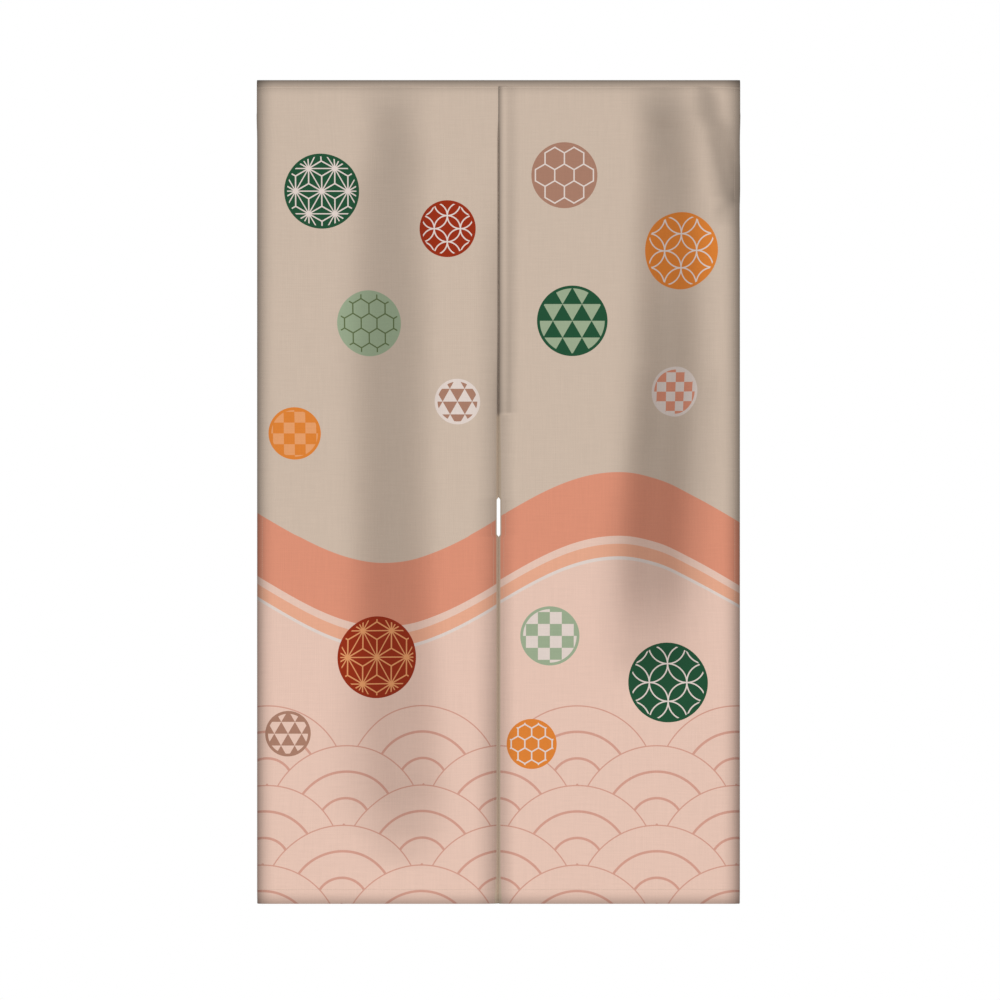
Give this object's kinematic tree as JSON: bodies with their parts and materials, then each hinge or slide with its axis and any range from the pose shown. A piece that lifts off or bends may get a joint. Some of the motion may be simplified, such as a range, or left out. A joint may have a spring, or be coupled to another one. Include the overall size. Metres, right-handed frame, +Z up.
{
  "type": "noren curtain",
  "caption": "Split doorway curtain of printed cloth: two panels sewn together at the top, open below, hung from a rod sleeve.",
  "frame": {"origin": "middle of the top edge, at the top of the rod sleeve, where the curtain is held up", "axes": "+Z up along the hang, +X along the rod to the right of a person who faces the printed side, -Y towards that person"},
  "size_m": [0.85, 0.0332, 1.45],
  "materials": {
    "heading_cloth": "matt plain weave",
    "panel_cloth": "matt plain weave, printed"
  },
  "bodies": {
    "root": {"heading": "heading_cloth", "panel_left": "panel_cloth", "panel_right": "panel_cloth"}
  },
  "joints": []
}
